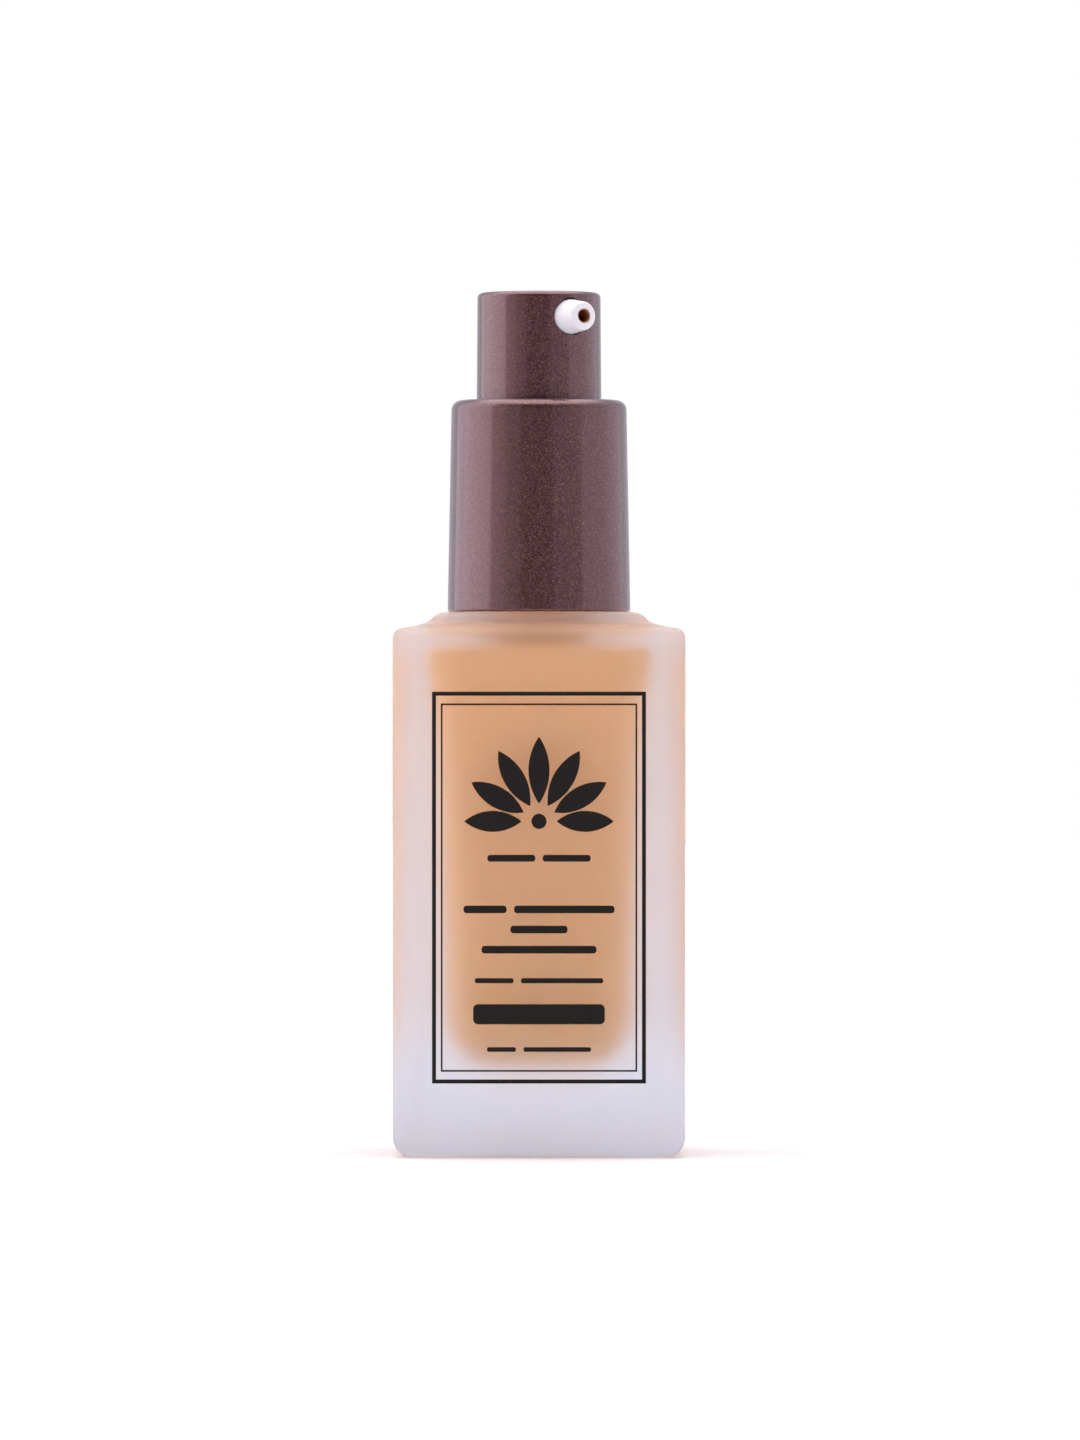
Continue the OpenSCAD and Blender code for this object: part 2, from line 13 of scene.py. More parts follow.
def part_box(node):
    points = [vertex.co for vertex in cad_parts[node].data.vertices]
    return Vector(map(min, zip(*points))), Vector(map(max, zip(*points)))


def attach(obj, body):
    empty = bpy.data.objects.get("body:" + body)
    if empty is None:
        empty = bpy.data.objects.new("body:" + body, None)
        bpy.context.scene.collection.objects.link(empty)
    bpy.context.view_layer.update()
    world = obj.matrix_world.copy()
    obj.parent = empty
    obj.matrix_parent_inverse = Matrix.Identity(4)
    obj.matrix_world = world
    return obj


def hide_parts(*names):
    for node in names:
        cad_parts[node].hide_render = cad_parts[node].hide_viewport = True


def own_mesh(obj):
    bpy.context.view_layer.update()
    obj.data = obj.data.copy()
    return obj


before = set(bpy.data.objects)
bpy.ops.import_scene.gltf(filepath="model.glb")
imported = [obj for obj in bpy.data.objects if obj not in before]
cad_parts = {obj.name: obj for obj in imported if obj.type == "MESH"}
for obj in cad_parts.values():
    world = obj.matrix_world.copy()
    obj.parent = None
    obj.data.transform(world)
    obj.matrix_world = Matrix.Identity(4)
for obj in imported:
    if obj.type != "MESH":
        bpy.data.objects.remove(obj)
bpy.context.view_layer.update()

MM = 0.001


def span(node):
    """A CAD node's lowest and highest corners, in millimetres."""
    low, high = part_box(node)
    return Vector(low) / MM, Vector(high) / MM


# ---------- sizes, in millimetres ----------

GLASS_HIGH = span("glass_bottle")[1]
COLLAR_LOW, COLLAR_HIGH = span("collar_sleeve")
CLOSURE_HIGH = span("screw_closure")[1]
COVER_LOW, COVER_HIGH = span("actuator_cover")
HOUSING_LOW = span("pump_housing")[0]
TUBE_LOW, TUBE_HIGH = span("dip_tube")
SPRING_LOW, SPRING_HIGH = span("return_spring")
LIQUID_LOW, LIQUID_HIGH = span("foundation_liquid")

# Body of the glass
HALF = GLASS_HIGH.x              # half its width
CORNER_R = 3.0                   # upright corners
HEEL_R = 2.5
EDGE_R = 1.3                     # between the walls and the shoulder
WALL_H = 62.0                    # top of the flat walls
SLOPE = math.radians(15)         # of the shoulder
PUSH_UP = 0.4                    # how far the middle of the base is raised
PUSH_UP_HALF = HALF - 4.6
PUSH_UP_CORNER = 2.5

# Round step between the shoulder and the neck
STEP_R = 13.45
STEP_H = 1.2
STEP_EDGE = 2.2                  # radius of its rounded edge
STEP_FLANK = 45                  # degrees at which that rounding runs out
STEP_FOOT = 0.55                 # how far its hollow foot reaches out

# Neck
NECK_TOP = GLASS_HIGH.z
NECK_R = 7.85
NECK_RIM = 0.5
BORE_R = 5.5
BORE_RIM = 0.3
THREAD_R = 8.85
THREAD_PITCH = 3.175
THREAD_TURNS = 1.5
THREAD_INSET = 2.2               # from the rim to the upper end of the thread

SLOPE_IN = EDGE_R * (1 - math.sin(SLOPE))
SLOPE_Z = WALL_H + EDGE_R * math.cos(SLOPE)
SHOULDER_Z = SLOPE_Z + (HALF - SLOPE_IN - STEP_R) * math.tan(SLOPE)
STEP_Z = SHOULDER_Z + STEP_H

# Cavity and liquid
CAVITY_HALF = 11.35              # half its width at CAVITY_Z
CAVITY_Z = 15
CAVITY_TAPER = 0.032             # growth of that half width for each mm upwards
FLARE_Z = 47                     # where the cavity starts to flare
FLARE_H = 14
FLARE = 1.2                      # what the flare adds after FLARE_H
CAVITY_CORNER = 4.5              # upright corners
LEAST_CORNER = 0.3               # what is left of them at the floor
FLOOR_Z = LIQUID_LOW.z
FLOOR_R = 6.5                    # between the walls and the floor
ROOF_Z = WALL_H                  # roof at the throat
EDGE_Z = WALL_H - 1.0            # roof at the walls
ROOF_R = 0.7                     # between the walls and the roof
THROAT_R = 1.2                   # between the roof and the bore
LIQUID_OVER = 0.02               # how far the liquid reaches into the glass
LIQUID_GAP = 0.05                # room between the liquid and the pump

# Pump
BARREL_R = 4.7
BARREL_FOOT = SPRING_LOW.z - 1.5
TAIL_R = 2.7
TAIL_TOP = SPRING_LOW.z - 4.4

# Nozzle
NOZZLE_TURN = math.radians(31.7)
NOZZLE_Z = COVER_HIGH.z - 3.1
NOZZLE_REACH = 10.3              # from the pump's axis to the tip
NOZZLE_BASE_R = 2.17
NOZZLE_TIP_R = 1.76
OUTLET_R = 0.73


# ---------- nodes, for a material or the world ----------

def feed(mat, node, **inputs):
    """Sets or links inputs, by their name with _ for a space or by their place as i0, i1..."""
    for key, value in inputs.items():
        by_place = key[0] == "i" and key[1:].isdigit()
        socket = node.inputs[int(key[1:]) if by_place else key.replace("_", " ")]
        if isinstance(value, bpy.types.NodeSocket):
            mat.node_tree.links.new(value, socket)
        else:
            socket.default_value = value


def add(mat, kind, **inputs):
    """A new node, with its inputs set or linked as in feed."""
    node = mat.node_tree.nodes.new(kind)
    feed(mat, node, **inputs)
    return node


def position(mat):
    """Where a point is on the model, in metres."""
    return add(mat, "ShaderNodeTexCoord").outputs["Object"]


def noise(mat, scale, detail=2.0, rough=0.5, where=None):
    node = add(mat, "ShaderNodeTexNoise", Scale=scale, Detail=detail, Roughness=rough,
               Vector=where or position(mat))
    return node.outputs["Fac"]


def ranged(mat, value, low, high, to_low, to_high):
    node = add(mat, "ShaderNodeMapRange", Value=value, From_Min=low, From_Max=high,
               To_Min=to_low, To_Max=to_high)
    return node.outputs["Result"]


def varied(mat, value, low, high):
    """Noise, which lies mostly between 0.3 and 0.7, spread from low to high."""
    return ranged(mat, value, 0.3, 0.7, low, high)


def blend_colour(mat, factor, a, b):
    """A blend from a to b, each a colour or a socket."""
    node = mat.node_tree.nodes.new("ShaderNodeMix")
    node.data_type = "RGBA"
    a, b = ((*colour, 1) if isinstance(colour, tuple) else colour for colour in (a, b))
    feed(mat, node, i0=factor, i6=a, i7=b)
    return node.outputs[2]


def scalar_math(mat, operation, a, b):
    node = add(mat, "ShaderNodeMath", i0=a, i1=b)
    node.operation = operation
    return node.outputs[0]


def vector_math(mat, operation, **inputs):
    node = mat.node_tree.nodes.new("ShaderNodeVectorMath")
    node.operation = operation
    feed(mat, node, **inputs)
    return node.outputs["Value" if operation == "LENGTH" else "Vector"]


# ---------- materials ----------

def material(name):
    """A new material with an empty Principled surface, and that shader's node."""
    mat = bpy.data.materials.new(name)
    mat.use_nodes = True
    return mat, mat.node_tree.nodes["Principled BSDF"]


def frosted_glass():
    mat, shader = material("frosted_glass")
    feed(mat, shader, Base_Color=(0.78, 0.835, 0.915, 1), IOR=1.5, Transmission_Weight=0.94)
    feed(mat, shader, Roughness=varied(mat, noise(mat, 2500, 3), 0.66, 0.72))
    return mat


def clear_glass():
    mat, shader = material("clear_glass")
    feed(mat, shader, Base_Color=(0.99, 0.985, 1.0, 1), IOR=1.5, Transmission_Weight=1.0)
    feed(mat, shader, Roughness=varied(mat, noise(mat, 400), 0.03, 0.07))
    return mat


def foundation():
    mat, shader = material("foundation")
    tan = blend_colour(mat, noise(mat, 90, 3), (0.965, 0.475, 0.15), (0.985, 0.495, 0.162))
    feed(mat, shader, Base_Color=tan, Roughness=0.35)
    feed(mat, shader, Subsurface_Weight=0.15, Subsurface_Scale=0.001)
    return mat


def ink():
    mat, shader = material("ink")
    black = blend_colour(mat, noise(mat, 3000, 2), (0.005, 0.0035, 0.003), (0.009, 0.006, 0.005))
    feed(mat, shader, Base_Color=black, Specular_IOR_Level=0.25)
    feed(mat, shader, Roughness=varied(mat, noise(mat, 6000), 0.35, 0.55))
    return mat


def metallic_burgundy():
    """Pearl lacquer: a metallic base with fine sparkling flakes under a clear coat."""
    flakes_per_metre, flake_light, flake_tilt = 9500, 0.22, 0.22
    mat, shader = material("metallic_burgundy")
    where = position(mat)
    flakes = add(mat, "ShaderNodeTexVoronoi", Vector=where, Scale=flakes_per_metre)
    flake = flakes.outputs["Color"]
    parts = add(mat, "ShaderNodeSeparateColor", Color=flake)
    sparkle = ranged(mat, parts.outputs["Red"], 0.7, 1.0, 0.0, flake_light)
    tilt = vector_math(mat, "SUBTRACT", i0=flake, i1=(0.5, 0.5, 0.5))
    spread = vector_math(mat, "SCALE", i0=tilt, Scale=flake_tilt)
    normal = add(mat, "ShaderNodeNewGeometry").outputs["Normal"]
    leaning = vector_math(mat, "ADD", i0=normal, i1=spread)
    unit = vector_math(mat, "NORMALIZE", i0=leaning)
    cloud = noise(mat, 250, 3, where=where)
    lacquer = blend_colour(mat, cloud, (0.115, 0.047, 0.052), (0.132, 0.055, 0.061))
    feed(mat, shader, Base_Color=blend_colour(mat, sparkle, lacquer, (0.55, 0.37, 0.37)))
    feed(mat, shader, Metallic=0.85, Roughness=0.33, Normal=unit)
    feed(mat, shader, Coat_Weight=1.0, Coat_Roughness=0.04, Coat_IOR=1.5)
    return mat


def plastic(name, low, high, roughness=0.4, scale=300):
    """Moulded plastic whose colour and gloss vary slightly."""
    mat, shader = material(name)
    cloud = noise(mat, scale, 3)
    feed(mat, shader, Base_Color=blend_colour(mat, cloud, low, high))
    feed(mat, shader, Roughness=varied(mat, cloud, roughness - 0.05, roughness + 0.05))
    return mat


def nozzle_plastic():
    """Satin white plastic, with a film of foundation on the wall of the outlet."""
    film_full, film_gone, wander = OUTLET_R + 0.08, OUTLET_R + 0.22, 0.04
    mat, shader = material("nozzle_white")
    cloud = noise(mat, 400, 3)
    white = blend_colour(mat, cloud, (0.78, 0.775, 0.82), (0.83, 0.825, 0.86))
    along = nozzle_frame().inverted()
    turned = add(mat, "ShaderNodeMapping", Vector=position(mat),
                 Location=along.to_translation(), Rotation=along.to_euler())
    parts = add(mat, "ShaderNodeSeparateXYZ", Vector=turned.outputs[0]).outputs
    across = add(mat, "ShaderNodeCombineXYZ", Y=parts["Y"], Z=parts["Z"])
    radius = vector_math(mat, "LENGTH", i0=across.outputs[0])
    ragged = varied(mat, noise(mat, 1800, 2), -wander * MM, wander * MM)
    edge = scalar_math(mat, "ADD", radius, ragged)
    film = ranged(mat, edge, film_full * MM, film_gone * MM, 1.0, 0.0)
    feed(mat, shader, Base_Color=blend_colour(mat, film, white, (0.30, 0.105, 0.045)))
    feed(mat, shader, Roughness=varied(mat, cloud, 0.30, 0.40))
    feed(mat, shader, Subsurface_Weight=0.15, Subsurface_Scale=0.0005)
    return mat


def steel(name, colour, roughness):
    mat, shader = material(name)
    feed(mat, shader, Base_Color=(*colour, 1), Metallic=1.0)
    feed(mat, shader, Roughness=varied(mat, noise(mat, 1200), roughness, roughness + 0.1))
    return mat


def floor_paper():
    mat, shader = material("floor_paper")
    paper = blend_colour(mat, noise(mat, 4, 2), (0.80, 0.80, 0.805), (0.82, 0.82, 0.825))
    feed(mat, shader, Base_Color=paper, Roughness=0.8)
    return mat


# ---------- mesh making ----------

CORNER_STEPS = 16
SIDE_STEPS = 16
AROUND = 4 * (CORNER_STEPS + SIDE_STEPS)
# Shares of a straight side. The first and last lie close to the corners, which keeps the shading
# of the side flat. KEEP_FLAT does the same between roundings, in millimetres.
SIDE_SHARES = [0, 0.006, *(i / (SIDE_STEPS - 2) for i in range(1, SIDE_STEPS - 2)), 0.994]
KEEP_FLAT = 0.08
SHARP = math.radians(35)
MERGE = 1e-7


def arc(x, z, radius, start, end, steps):
    """Points along an arc in the (radius, height) plane, in degrees anticlockwise."""
    angles = [math.radians(start + (end - start) * i / steps) for i in range(steps + 1)]
    return [(x + radius * math.cos(a), z + radius * math.sin(a)) for a in angles]


def square_ring(half, corner, z):
    """Ring round a square with rounded corners, starting on the first corner's arc."""
    straight = half - corner
    points = []
    for quarter in range(4):
        turn = Matrix.Rotation(quarter * math.pi / 2, 3, "Z")
        centre = Vector((straight, straight, z))
        for i in range(CORNER_STEPS):
            a = math.pi / 2 * i / CORNER_STEPS
            points.append(turn @ (centre + corner * Vector((math.cos(a), math.sin(a), 0))))
        points += [turn @ Vector((straight * (1 - 2 * share), half, z)) for share in SIDE_SHARES]
    return points


def circle_ring(radius, z, around=AROUND):
    """Circle whose points line up with those of square_ring."""
    shift = -CORNER_STEPS / 2 / AROUND * 2 * math.pi + math.pi / 4
    angles = [2 * math.pi * i / around + shift for i in range(around)]
    return [Vector((radius * math.cos(a), radius * math.sin(a), z)) for a in angles]


def levels(low, high, steps):
    """Heights between two roundings, evenly spaced, and one close to each rounding."""
    even = [low + (high - low) * i / steps for i in range(1, steps)]
    nudge = math.copysign(KEEP_FLAT, high - low)
    return [low + nudge, *even, high - nudge]


def mixed_ring(a, b, share):
    return [p.lerp(q, share) for p, q in zip(a, b)]


def make(name, points, faces, mats, body, replaced=(), inner=()):
    """Mesh object from points in millimetres, riding on a body.

    The faces listed as inner get the second material.
    """
    mesh = bpy.data.meshes.new(name)
    mesh.from_pydata([Vector(p) * MM for p in points], [], faces)
    for index in inner:
        mesh.polygons[index].material_index = 1
    tidy = bmesh.new()
    tidy.from_mesh(mesh)
    bmesh.ops.remove_doubles(tidy, verts=tidy.verts, dist=MERGE)
    bmesh.ops.recalc_face_normals(tidy, faces=tidy.faces)
    tidy.to_mesh(mesh)
    tidy.free()
    mesh.shade_smooth()
    mesh.set_sharp_from_angle(angle=SHARP)
    piece = bpy.data.objects.new(name, mesh)
    bpy.context.scene.collection.objects.link(piece)
    for mat in mats:
        mesh.materials.append(mat)
    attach(piece, body)
    if replaced:
        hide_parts(*replaced)
    return piece


def skin(rings, closed=False):
    """Points and faces of a skin over rings of equal length. Open ends are closed by a fan."""
    n = len(rings[0])
    points = [p for ring in rings for p in ring]
    pairs = list(zip(range(len(rings)), range(1, len(rings))))
    if closed:
        pairs.append((len(rings) - 1, 0))
    faces = [(a * n + k, a * n + (k + 1) % n, b * n + (k + 1) % n, b * n + k)
             for a, b in pairs for k in range(n)]
    if not closed:
        for ring, first in ((rings[0], 0), (rings[-1], (len(rings) - 1) * n)):
            points.append(sum(ring, Vector()) / n)
            faces += [(first + k, first + (k + 1) % n, len(points) - 1) for k in range(n)]
    return points, faces


def lathe(profile, around=192):
    """Skin of a closed outline turned round the Z axis."""
    return skin([circle_ring(r, z, around) for r, z in profile], closed=True)


# ---------- glass bottle and liquid ----------

def thread_rise(angle, z):
    """How far the neck thread stands out at an angle and a height."""
    half_width, flank = 0.95, 0.5
    run_outs = 9                 # the thread fades over a ninth of a turn at each end
    low = NECK_TOP - THREAD_INSET - THREAD_TURNS * THREAD_PITCH
    rise = 0.0
    for turn in range(3):
        along = angle / (2 * math.pi) + turn
        if along > THREAD_TURNS:
            break
        away = abs(z - (low + THREAD_PITCH * along))
        fade = min(1.0, along * run_outs, (THREAD_TURNS - along) * run_outs)
        rise = max(rise, fade * min(1.0, max(0.0, (half_width - away) / flank)))
    return (THREAD_R - NECK_R) * rise * rise * (3 - 2 * rise)


def neck_ring(z):
    ring = []
    for p in circle_ring(NECK_R, z):
        rise = thread_rise(math.atan2(p.y, p.x) % (2 * math.pi), z)
        ring.append(p + Vector((p.x, p.y, 0)).normalized() * rise)
    return ring


def base_rings():
    """From the raised middle of the base over its lip to the ring that the bottle stands on."""
    lip = 0.3
    chamfer, chamfer_z = 0.06, 0.08
    rings = []
    for a in (0, math.pi / 6, math.pi / 3):
        out = lip * math.sin(a)
        rings.append(square_ring(PUSH_UP_HALF - lip + out, PUSH_UP_CORNER - lip + out,
                                 PUSH_UP - lip + lip * math.cos(a)))
    rings.append(square_ring(PUSH_UP_HALF, PUSH_UP_CORNER, chamfer_z))
    rings.append(square_ring(PUSH_UP_HALF + chamfer, PUSH_UP_CORNER + chamfer, 0))
    return rings


def step_profile(foot_r, foot_z):
    """Concave foot of the round step, its broad rounded edge and its flat top."""
    neck_gap = 0.4
    flank = math.radians(STEP_FLANK)
    mid_r = STEP_R - STEP_H + STEP_EDGE * (1 - math.cos(flank)) - STEP_EDGE * math.sin(flank)
    edge = arc(mid_r, STEP_Z - STEP_EDGE, STEP_EDGE, STEP_FLANK, 90, 10)
    bend = (STEP_R, SHOULDER_Z)
    hollow = []
    for t in (i / 6 for i in range(1, 6)):
        hollow.append(tuple((1 - t) ** 2 * a + 2 * t * (1 - t) * b + t * t * c
                            for a, b, c in zip((foot_r, foot_z), bend, edge[0])))
    return hollow + edge + [(NECK_R + neck_gap, STEP_Z)]


def outer_rings():
    """From the middle of the base, over the heel, walls and shoulder, to the neck's rim."""
    neck_step, under_rim = 0.2, 0.1
    rings = base_rings()
    for x, z in arc(HALF - HEEL_R, HEEL_R, HEEL_R, -90, 0, 14):
        rings.append(square_ring(x, CORNER_R - HALF + x, z))
    rings += [square_ring(HALF, CORNER_R, z) for z in levels(HEEL_R, WALL_H, 16)]
    for x, z in arc(HALF - EDGE_R, WALL_H, EDGE_R, 0, 90 - math.degrees(SLOPE), 8):
        rings.append(square_ring(x, CORNER_R - HALF + x, z))
    foot_r = STEP_R + STEP_FOOT
    foot_z = SHOULDER_Z - STEP_FOOT * math.tan(SLOPE)
    rim, foot = rings[-1], circle_ring(foot_r, foot_z)
    rings += [mixed_ring(rim, foot, i / 10) for i in range(1, 10)]
    rings += [circle_ring(r, z) for r, z in step_profile(foot_r, foot_z)]
    z = STEP_Z
    while z < NECK_TOP - NECK_RIM - under_rim:
        rings.append(neck_ring(z))
        z += neck_step
    rim_arc = arc(NECK_R - NECK_RIM, NECK_TOP - NECK_RIM, NECK_RIM, 0, 90, 6)
    return rings + [circle_ring(r, z) for r, z in rim_arc]


def cavity_half(z):
    """Half width of the inner wall: it narrows slowly downwards and flares under the shoulder."""
    flare = max(0.0, (z - FLARE_Z) / FLARE_H)
    return CAVITY_HALF + CAVITY_TAPER * (z - CAVITY_Z) + FLARE * flare ** 1.5


def cavity_rings(over=0.0):
    """Inside of the body from the throat down to the floor, moved outwards by `over`."""
    upper = EDGE_Z - ROOF_R
    lower = FLOOR_Z + FLOOR_R
    top = cavity_half(upper) + over
    bottom = cavity_half(lower) + over
    mouth = circle_ring(BORE_R + THROAT_R + over, ROOF_Z + over)
    edge = square_ring(top - ROOF_R, CAVITY_CORNER - ROOF_R, EDGE_Z + over)
    rings = [mixed_ring(mouth, edge, i / 8) for i in range(8)]
    for x, z in arc(top - ROOF_R, upper + over, ROOF_R, 80, 0, 8):
        rings.append(square_ring(x, CAVITY_CORNER - top + x, z))
    rings += [square_ring(cavity_half(z) + over, CAVITY_CORNER, z)
              for z in levels(upper, lower, 24)]
    for x, z in arc(bottom - FLOOR_R, lower, FLOOR_R, 0, -90, 16):
        corner = max(LEAST_CORNER, CAVITY_CORNER - bottom + x)
        rings.append(square_ring(x, corner, lower + (z - lower) * (FLOOR_R + over) / FLOOR_R))
    return rings


def throat(over=0.0):
    """Radii and heights of the rounded mouth between the neck bore and the roof of the cavity."""
    return arc(BORE_R + THROAT_R, ROOF_Z + THROAT_R, THROAT_R - over, 180, 262, 6)


def glass_shell():
    """Outside and inside in one skin. The inside and the bore are clear, the outside frosted."""
    rings = outer_rings()
    outside = len(rings)
    rim_arc = arc(BORE_R + BORE_RIM, NECK_TOP - BORE_RIM, BORE_RIM, 90, 180, 5)
    rings += [circle_ring(r, z) for r, z in [*rim_arc, (BORE_R, NECK_TOP - 1), *throat()]]
    rings += cavity_rings()
    points, faces = skin(rings)
    wall = range(outside * AROUND, (len(rings) - 1) * AROUND)
    floor_fan = range(len(faces) - AROUND, len(faces))
    make("glass_shell", points, faces, [frosted_glass(), clear_glass()], "bottle",
         ["glass_bottle"], inner=[*wall, *floor_fan])


def liquid():
    """Foundation filling the cavity, with a hole round the pump."""
    barrel_r, tail_r, tube_r = BARREL_R + LIQUID_GAP, TAIL_R + LIQUID_GAP, TUBE_HIGH.x + LIQUID_GAP
    top, tail_z, tube_z = LIQUID_HIGH.z, HOUSING_LOW.z - LIQUID_GAP, TUBE_LOW.z - LIQUID_GAP
    dip, dip_z = 0.25, 0.15      # the surface is lower away from the glass
    rings = cavity_rings(LIQUID_OVER)[::-1]
    profile = throat(LIQUID_OVER)[::-1]
    profile += [(BORE_R + LIQUID_OVER, top), (BORE_R - dip, top - dip_z), (barrel_r, top),
                (barrel_r, BARREL_FOOT), (tail_r, TAIL_TOP), (tail_r, tail_z),
                (tube_r, tail_z), (tube_r, tube_z)]
    rings += [circle_ring(r, z) for r, z in profile]
    points, faces = skin(rings)
    make("liquid", points, faces, [foundation()], "bottle", ["foundation_liquid"])


# ---------- collar, actuator and nozzle ----------

def collar(paint):
    """Tapered sleeve with a lip round the actuator, and room inside for the closure."""
    low_r, top_r = COLLAR_HIGH.x, 10.6
    top, deck = COLLAR_HIGH.z, CLOSURE_HIGH.z
    foot, edge, rim, lip = 0.22, 1.2, 0.25, 1.2
    mouth_r = COVER_HIGH.x + 0.15
    inner_low, inner_high = CLOSURE_HIGH.x + 0.02, 9.6
    low, high = COLLAR_LOW.z + foot, top - edge
    profile = arc(low_r - foot, low, foot, -90, 0, 5)
    profile += [(low_r + (top_r - low_r) * (z - low) / (high - low), z)
                for z in levels(low, high, 12)]
    profile += arc(top_r - edge, high, edge, 0, 90, 14)
    profile += arc(mouth_r + rim, top - rim, rim, 90, 180, 5)
    profile += [(mouth_r, top - lip), (inner_high, top - lip), (inner_high, deck),
                (inner_low, deck), (inner_low, COLLAR_LOW.z)]
    points, faces = lathe(profile)
    make("collar", points, faces, [paint], "closure", ["collar_sleeve"])


def nozzle_frame():
    """Turns +X towards the nozzle and lifts it to the nozzle's axis, in metres."""
    lift = Matrix.Translation((0, 0, NOZZLE_Z * MM))
    return lift @ Matrix.Rotation(NOZZLE_TURN - math.pi / 2, 4, "Z")


def nozzle_hole():
    """Cutter for the hole that the nozzle comes through."""
    hole_r, depth, middle = 2.3, 8, 7
    shape = bmesh.new()
    bmesh.ops.create_cone(shape, cap_ends=True, segments=64, radius1=hole_r * MM,
                          radius2=hole_r * MM, depth=depth * MM)
    ahead = nozzle_frame() @ Matrix.Translation((middle * MM, 0, 0))
    shape.transform(ahead @ Matrix.Rotation(math.pi / 2, 4, "Y"))
    mesh = bpy.data.meshes.new("cutter")
    shape.to_mesh(mesh)
    shape.free()
    cutter = bpy.data.objects.new("cutter", mesh)
    bpy.context.scene.collection.objects.link(cutter)
    return cutter


def apply_modifiers(piece):
    """Replaces the mesh with what its modifiers make of it."""
    bpy.context.view_layer.update()
    evaluated = piece.evaluated_get(bpy.context.evaluated_depsgraph_get())
    done = bpy.data.meshes.new_from_object(evaluated)
    piece.modifiers.clear()
    piece.data = done


def actuator_cap(paint):
    """Cap with a dished top and a hole for the nozzle."""
    low_r, low, top = COVER_HIGH.x, COVER_LOW.z, COVER_HIGH.z
    edge, foot, taper, wall, roof = 0.65, 0.15, 0.1, 0.86, 1.0
    top_r, inner_r = low_r - taper, low_r - wall
    dish_r, dish, dish_rim = top_r - 1.3, 0.35, 0.004
    axis_r = 0.001               # the outline stays just off the axis
    sphere = (dish_r ** 2 + dish ** 2) / (2 * dish)
    profile = [(axis_r, top - dish)]
    for i in range(1, 12):
        r = dish_r * i / 12
        profile.append((r, top - dish + sphere - math.sqrt(sphere ** 2 - r ** 2)))
    profile += [(dish_r, top - dish_rim)]
    high, foot_z = top - edge, low + foot
    profile += arc(top_r - edge, high, edge, 90, 0, 10)
    profile += [(top_r + (low_r - top_r) * (high - z) / (high - foot_z), z)
                for z in levels(high, foot_z, 24)]
    profile += arc(low_r - foot, foot_z, foot, 0, -90, 4)
    profile += [(inner_r, low), (inner_r, top - roof), (axis_r, top - roof)]
    points, faces = lathe(profile)
    piece = make("actuator_cap", points, faces, [paint], "head",
                 ["actuator_cover"])
    cutter = nozzle_hole()
    cut = piece.modifiers.new("hole", "BOOLEAN")
    cut.operation, cut.object, cut.solver = "DIFFERENCE", cutter, "EXACT"
    apply_modifiers(piece)
    bpy.data.objects.remove(cutter)


def nozzle():
    """Tapered spout with a rounded tip, a bore and a shank in the actuator."""
    shank_r, shank_x, base_x = 1.55, 3.9, COVER_HIGH.x - 0.88
    rounding, lip, bore_step = 0.45, 0.1, 0.5
    tip_x = NOZZLE_REACH - rounding
    profile = [(OUTLET_R, shank_x), (shank_r, shank_x), (shank_r, base_x), (NOZZLE_BASE_R, base_x)]
    profile += [(NOZZLE_BASE_R + (NOZZLE_TIP_R - NOZZLE_BASE_R) * i / 6,
                 base_x + (tip_x - base_x) * i / 6) for i in range(1, 6)]
    profile += arc(NOZZLE_TIP_R - rounding, tip_x, rounding, 0, 90, 10)
    profile += arc(OUTLET_R + lip, NOZZLE_REACH - lip, lip, 90, 180, 4)
    profile += [(OUTLET_R, NOZZLE_REACH - i * bore_step) for i in range(1, 12)]
    points, faces = lathe(profile, 96)
    upright = nozzle_frame() @ Matrix.Rotation(math.pi / 2, 4, "Y")
    turned = [(upright @ (Vector(p) * MM)) / MM for p in points]
    make("spout", turned, faces, [nozzle_plastic()], "head", ["nozzle"])


# ---------- hidden pump pieces ----------

def coil_spring(steel_mat):
    """Spring in the pump barrel, with closed coils at its ends."""
    wire, radius, turns, steps, sides = 0.275, 2.45, 7, 40, 10
    low, high = SPRING_LOW.z + wire, SPRING_HIGH.z - wire
    open_rise = (high - low - 4 * wire) / (turns - 2)
    rings = []
    for i in range(steps * turns + 1):
        t = i / steps
        closed_turns = min(t, 1) + max(0.0, t - turns + 1)
        open_turns = max(0.0, min(t, turns - 1) - 1)
        z = low + 2 * wire * closed_turns + open_rise * open_turns
        out = Vector((math.cos(2 * math.pi * t), math.sin(2 * math.pi * t), 0))
        centre = out * radius + Vector((0, 0, z))
        rings.append([centre + wire * (math.cos(a) * out + math.sin(a) * Vector((0, 0, 1)))
                      for a in (2 * math.pi * k / sides for k in range(sides))])
    points, faces = skin(rings)
    piece = make("coil_spring", points, faces, [steel_mat], "pump_body",
                 ["return_spring"])
    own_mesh(piece)


def dress(node, mat):
    """Gives a CAD node its finished material."""
    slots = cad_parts[node].data.materials
    slots.clear()
    slots.append(mat)


# ---------- studio ----------

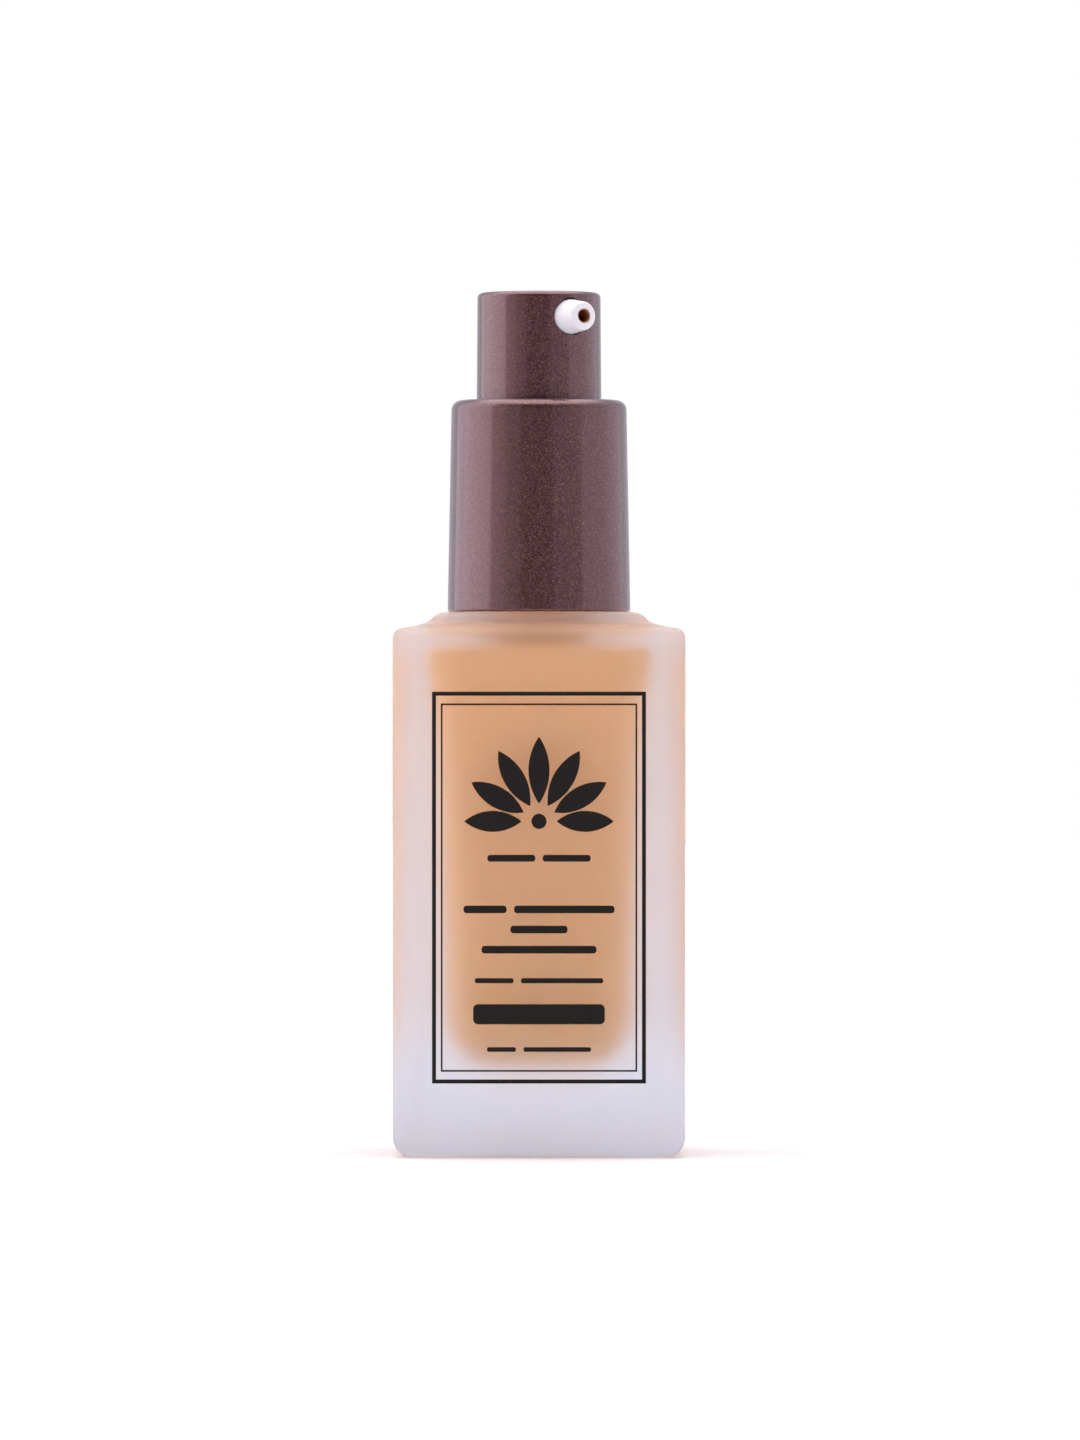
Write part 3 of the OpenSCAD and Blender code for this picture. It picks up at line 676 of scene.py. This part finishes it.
# Colours round the horizon: degrees from the front towards +X, and the light from there on.
PANELS = [
    (-180, (0.58, 0.57, 0.64)), (-135, (1.45, 1.40, 1.60)), (-114, (1.90, 1.82, 2.00)),
    (-65, (0.62, 0.60, 0.62)), (-44, (0.32, 0.31, 0.32)), (-25, (0.03, 0.03, 0.03)),
    (19, (0.30, 0.29, 0.30)), (57, (0.80, 0.78, 0.82)), (97, (0.90, 0.88, 0.98)),
    (135, (0.58, 0.57, 0.64)),
]
PANEL_EDGE = 2                   # half the width of the soft edge between two panels, in degrees
BRIGHTEST = 2.5
OVERHEAD = (2.7, 2.55, 2.62)
OVERHEAD_FROM, OVERHEAD_FULL = 0.6, 0.88   # heights of the direction at which it starts and is full
BACKDROP = (1.0, 1.0, 1.0)


def set_ramp(ramp, panels):
    """Steps with short soft edges. A ramp's colours stop at 1, so they are scaled by BRIGHTEST."""
    elements = ramp.color_ramp.elements
    while len(elements) > 1:
        elements.remove(elements[-1])
    elements[0].position = 0.0
    elements[0].color = (*(c / BRIGHTEST for c in panels[0][1]), 1)
    for (_, before), (start, after) in zip(panels, panels[1:]):
        for at, light in ((start - PANEL_EDGE, before), (start + PANEL_EDGE, after)):
            element = elements.new((at + 180) / 360)
            element.color = (*(c / BRIGHTEST for c in light), 1)


def studio():
    """Panels and an overhead light that reflections show, and a white backdrop."""
    world = bpy.data.worlds.new("studio")
    bpy.context.scene.world = world
    world.use_nodes = True
    world.node_tree.nodes.clear()
    toward = add(world, "ShaderNodeTexCoord").outputs["Generated"]
    parts = add(world, "ShaderNodeSeparateXYZ", i0=toward).outputs
    flipped = scalar_math(world, "MULTIPLY", parts["Y"], -1)
    azimuth = scalar_math(world, "ARCTAN2", parts["X"], flipped)
    ramp = add(world, "ShaderNodeValToRGB", i0=ranged(world, azimuth, -math.pi, math.pi, 0, 1))
    set_ramp(ramp, PANELS)
    panels = vector_math(world, "SCALE", i0=ramp.outputs[0], Scale=BRIGHTEST)
    up = add(world, "ShaderNodeMapRange", Value=parts["Z"], From_Min=OVERHEAD_FROM,
             From_Max=OVERHEAD_FULL)
    up.interpolation_type = "SMOOTHSTEP"
    light = blend_colour(world, up.outputs[0], panels, OVERHEAD)
    seen = add(world, "ShaderNodeLightPath").outputs["Is Camera Ray"]
    shown = blend_colour(world, seen, light, BACKDROP)
    background = add(world, "ShaderNodeBackground", Color=shown, Strength=1.0)
    add(world, "ShaderNodeOutputWorld", i0=background.outputs[0])


def floor():
    """Sheet of paper just under the base."""
    radius, z, sides = 3000, -0.02, 96
    mesh = bpy.data.meshes.new("floor")
    mesh.from_pydata([p * MM for p in circle_ring(radius, z, sides)], [], [tuple(range(sides))])
    mesh.materials.append(floor_paper())
    sheet = bpy.data.objects.new("floor", mesh)
    bpy.context.scene.collection.objects.link(sheet)


def camera():
    """Level, in front, at the height of the picture's middle."""
    across, height, distance = 0.12, 52.28, 1214.5
    seen_height, at_distance, sensor = 172.1, 1200.0, 36   # the first is what fits at the second
    data = bpy.data.cameras.new("camera")
    data.sensor_fit = "AUTO"
    data.sensor_width = sensor
    data.lens = sensor * at_distance / seen_height
    cam = bpy.data.objects.new("camera", data)
    cam.location = (across * MM, -distance * MM, height * MM)
    cam.rotation_euler = (math.pi / 2, 0, 0)
    data.clip_start, data.clip_end = 0.01, 20
    bpy.context.scene.collection.objects.link(cam)
    bpy.context.scene.camera = cam


camera()
studio()
floor()

paint = metallic_burgundy()
glass_shell()
liquid()
collar(paint)
actuator_cap(paint)
nozzle()
coil_spring(steel("spring_steel", (0.62, 0.62, 0.64), 0.22))

pump_plastic = plastic("pump_plastic", (0.78, 0.78, 0.79), (0.84, 0.84, 0.85))
for part in ("pump_housing", "stem_guide", "stem", "valve_seat"):
    dress(part, pump_plastic)
dress("piston", plastic("piston_plastic", (0.74, 0.74, 0.72), (0.79, 0.79, 0.77), 0.5))
dress("neck_gasket", plastic("gasket_foam", (0.80, 0.80, 0.77), (0.88, 0.88, 0.85), 0.8, 1500))
dress("dip_tube", plastic("tube_plastic", (0.70, 0.73, 0.76), (0.76, 0.79, 0.82), 0.25))
dress("inlet_ball", steel("ball_steel", (0.75, 0.76, 0.78), 0.05))
dress("screw_closure",
      plastic("closure_plastic", (0.022, 0.014, 0.014), (0.035, 0.022, 0.022), 0.45))
dress("actuator_core", plastic("core_plastic", (0.86, 0.86, 0.88), (0.91, 0.91, 0.93), 0.38))
dress("front_print", ink())

bpy.context.scene.view_settings.view_transform = "Standard"
